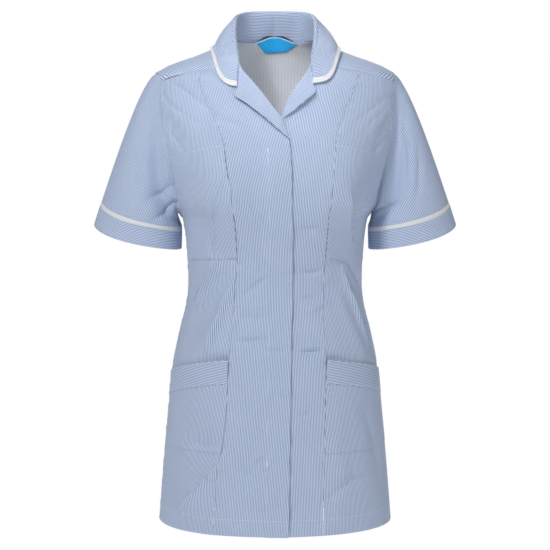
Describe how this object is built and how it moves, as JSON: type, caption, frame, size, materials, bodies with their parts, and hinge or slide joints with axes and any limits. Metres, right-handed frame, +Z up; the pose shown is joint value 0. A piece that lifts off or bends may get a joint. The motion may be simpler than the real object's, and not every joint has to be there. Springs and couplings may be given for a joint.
{
  "type": "work tunic",
  "caption": "Short-sleeved striped work tunic with a hidden front closure, notched lapels, white-trimmed collar and cuffs, breast and hip pockets, in the hollow shape it has when worn.",
  "frame": {"origin": "midway between the points where the shoulders meet the neck, where the tunic is held up", "axes": "+Z up, the front looks along -Y, +X is the wearer's left"},
  "size_m": [0.57, 0.2758, 0.81],
  "materials": {
    "stripe": "blue and white striped polycotton, matt",
    "white": "white cotton band, matt",
    "label": "plain blue woven label"
  },
  "bodies": {
    "root": {"back": "stripe", "front_right": "stripe", "front_left": "stripe", "side_front_right": "stripe", "side_front_left": "stripe", "lapel_right": "stripe", "lapel_left": "stripe", "collar": "stripe", "collar_trim": "white", "sleeve_right": "stripe", "sleeve_left": "stripe", "sleeve_trim_right": "white", "sleeve_trim_left": "white", "cuff_right": "stripe", "cuff_left": "stripe", "breast_pocket_right": "stripe", "breast_pocket_left": "stripe", "hip_pocket_right": "stripe", "hip_pocket_left": "stripe", "hip_pocket_band_right": "stripe", "hip_pocket_band_left": "stripe", "neck_label": "label"}
  },
  "joints": []
}
